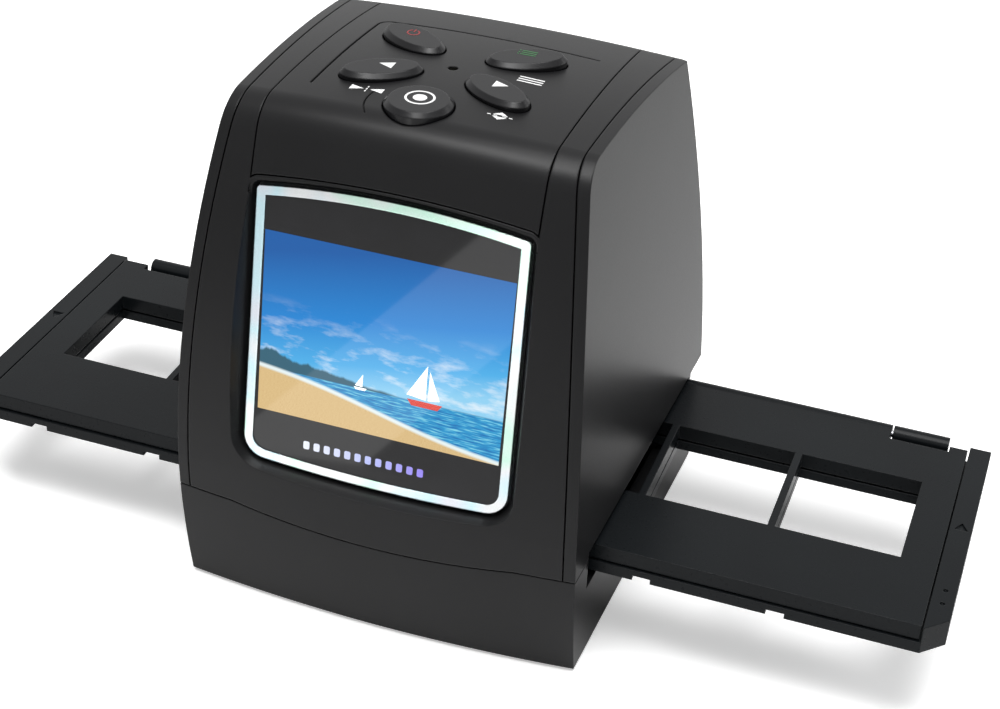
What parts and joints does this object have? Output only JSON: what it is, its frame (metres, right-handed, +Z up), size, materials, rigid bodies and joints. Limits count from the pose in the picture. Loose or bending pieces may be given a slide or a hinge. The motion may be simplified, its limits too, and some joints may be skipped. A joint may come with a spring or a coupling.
{
  "type": "film negative scanner",
  "caption": "Desktop film scanner with a tilted screen, keys on top and a sliding hinged film tray through its sides.",
  "frame": {"origin": "on the plane of the feet, under the middle of the casing", "axes": "+X along the film tray to the right seen from the front, +Y to the rear, +Z up"},
  "size_m": [0.2072, 0.0967, 0.1086],
  "materials": {
    "black_plastic": "fine textured satin black ABS",
    "tray_plastic": "satin blue-black moulding",
    "key_plastic": "semi-gloss black",
    "silver_plating": "polished silver plating",
    "screen_lens": "gloss black lens with a lit picture",
    "rubber": "matt black rubber",
    "steel": "zinc plated",
    "spring_steel": "bright rolled",
    "circuit_board": "green solder mask",
    "component_black": "moulded black",
    "socket_metal": "tin plated shell",
    "ribbon_white": "polyester film",
    "socket_white": "moulded nylon",
    "display_metal": "plain frame",
    "led_white": "clear resin",
    "diffuser_white": "opal acrylic",
    "light_box_white": "white reflector",
    "optics_black": "black anodised",
    "lens_glass": "coated glass",
    "filter_glass": "cyan tinted glass",
    "sensor": "silicon"
  },
  "bodies": {
    "casing": {"base": "black_plastic", "main_shell": "black_plastic", "top_cover": "black_plastic", "rear_cover": "black_plastic", "side_panel_left": "black_plastic", "side_panel_right": "black_plastic", "feet": "rubber", "casing_screws": "steel", "display_lens": "screen_lens", "silver_trim": "silver_plating", "display_module": "display_metal", "display_bracket": "component_black", "display_board": "circuit_board", "button_board": "circuit_board", "button_board_screws": "steel", "switches": "component_black", "status_lamp": "led_white", "film_track": "component_black", "detent_spring": "spring_steel", "detent_screw": "steel", "upper_gate": "component_black", "gate_screws": "steel", "backlight_board": "circuit_board", "backlight_leds": "led_white", "light_box": "light_box_white", "diffuser": "diffuser_white", "camera_tower": "component_black", "tower_screws": "steel", "lens_barrel": "optics_black", "lens_elements": "lens_glass", "sensor_holder": "component_black", "ir_filter": "filter_glass", "sensor_board": "circuit_board", "image_sensor": "sensor", "sensor_screws": "steel", "ribbon_sockets": "socket_white", "sensor_ribbon": "ribbon_white", "button_ribbon": "ribbon_white", "main_board": "circuit_board", "board_pillars": "steel", "main_board_screws": "steel", "usb_socket": "socket_metal", "tv_jack": "component_black", "card_socket": "socket_metal", "processor": "component_black"},
    "tray": {"tray_base": "tray_plastic", "hinge_pin": "steel"},
    "tray_lid": {"tray_lid": "tray_plastic"},
    "power_key": {"power_button": "key_plastic", "power_plunger": "component_black"},
    "menu_key": {"menu_button": "key_plastic", "menu_plunger": "component_black"},
    "mirror_key": {"mirror_button": "key_plastic", "mirror_plunger": "component_black"},
    "flip_key": {"flip_button": "key_plastic", "flip_plunger": "component_black"},
    "scan_key": {"scan_button": "key_plastic", "scan_plunger": "component_black"}
  },
  "joints": [
    {"name": "tray_slide", "type": "slide", "parent": "casing", "child": "tray", "axis": [1, 0, 0], "range_m": [-0.085, 0.0733]},
    {"name": "lid_hinge", "type": "hinge", "parent": "tray", "child": "tray_lid", "pos_m": [0, 0.0287, 0.0239], "axis": [-1, 0, 0], "range_deg": [0, 0.9]},
    {"name": "power_press", "type": "slide", "parent": "casing", "child": "power_key", "axis": [0, 0, -1], "range_m": [0, 0.0006], "stiffness_N_per_m": 800},
    {"name": "menu_press", "type": "slide", "parent": "casing", "child": "menu_key", "axis": [0, 0, -1], "range_m": [0, 0.0006], "stiffness_N_per_m": 800},
    {"name": "mirror_press", "type": "slide", "parent": "casing", "child": "mirror_key", "axis": [0, 0, -1], "range_m": [0, 0.0006], "stiffness_N_per_m": 800},
    {"name": "flip_press", "type": "slide", "parent": "casing", "child": "flip_key", "axis": [0, 0, -1], "range_m": [0, 0.0006], "stiffness_N_per_m": 800},
    {"name": "scan_press", "type": "slide", "parent": "casing", "child": "scan_key", "axis": [0, 0, -1], "range_m": [0, 0.0006], "stiffness_N_per_m": 800}
  ]
}
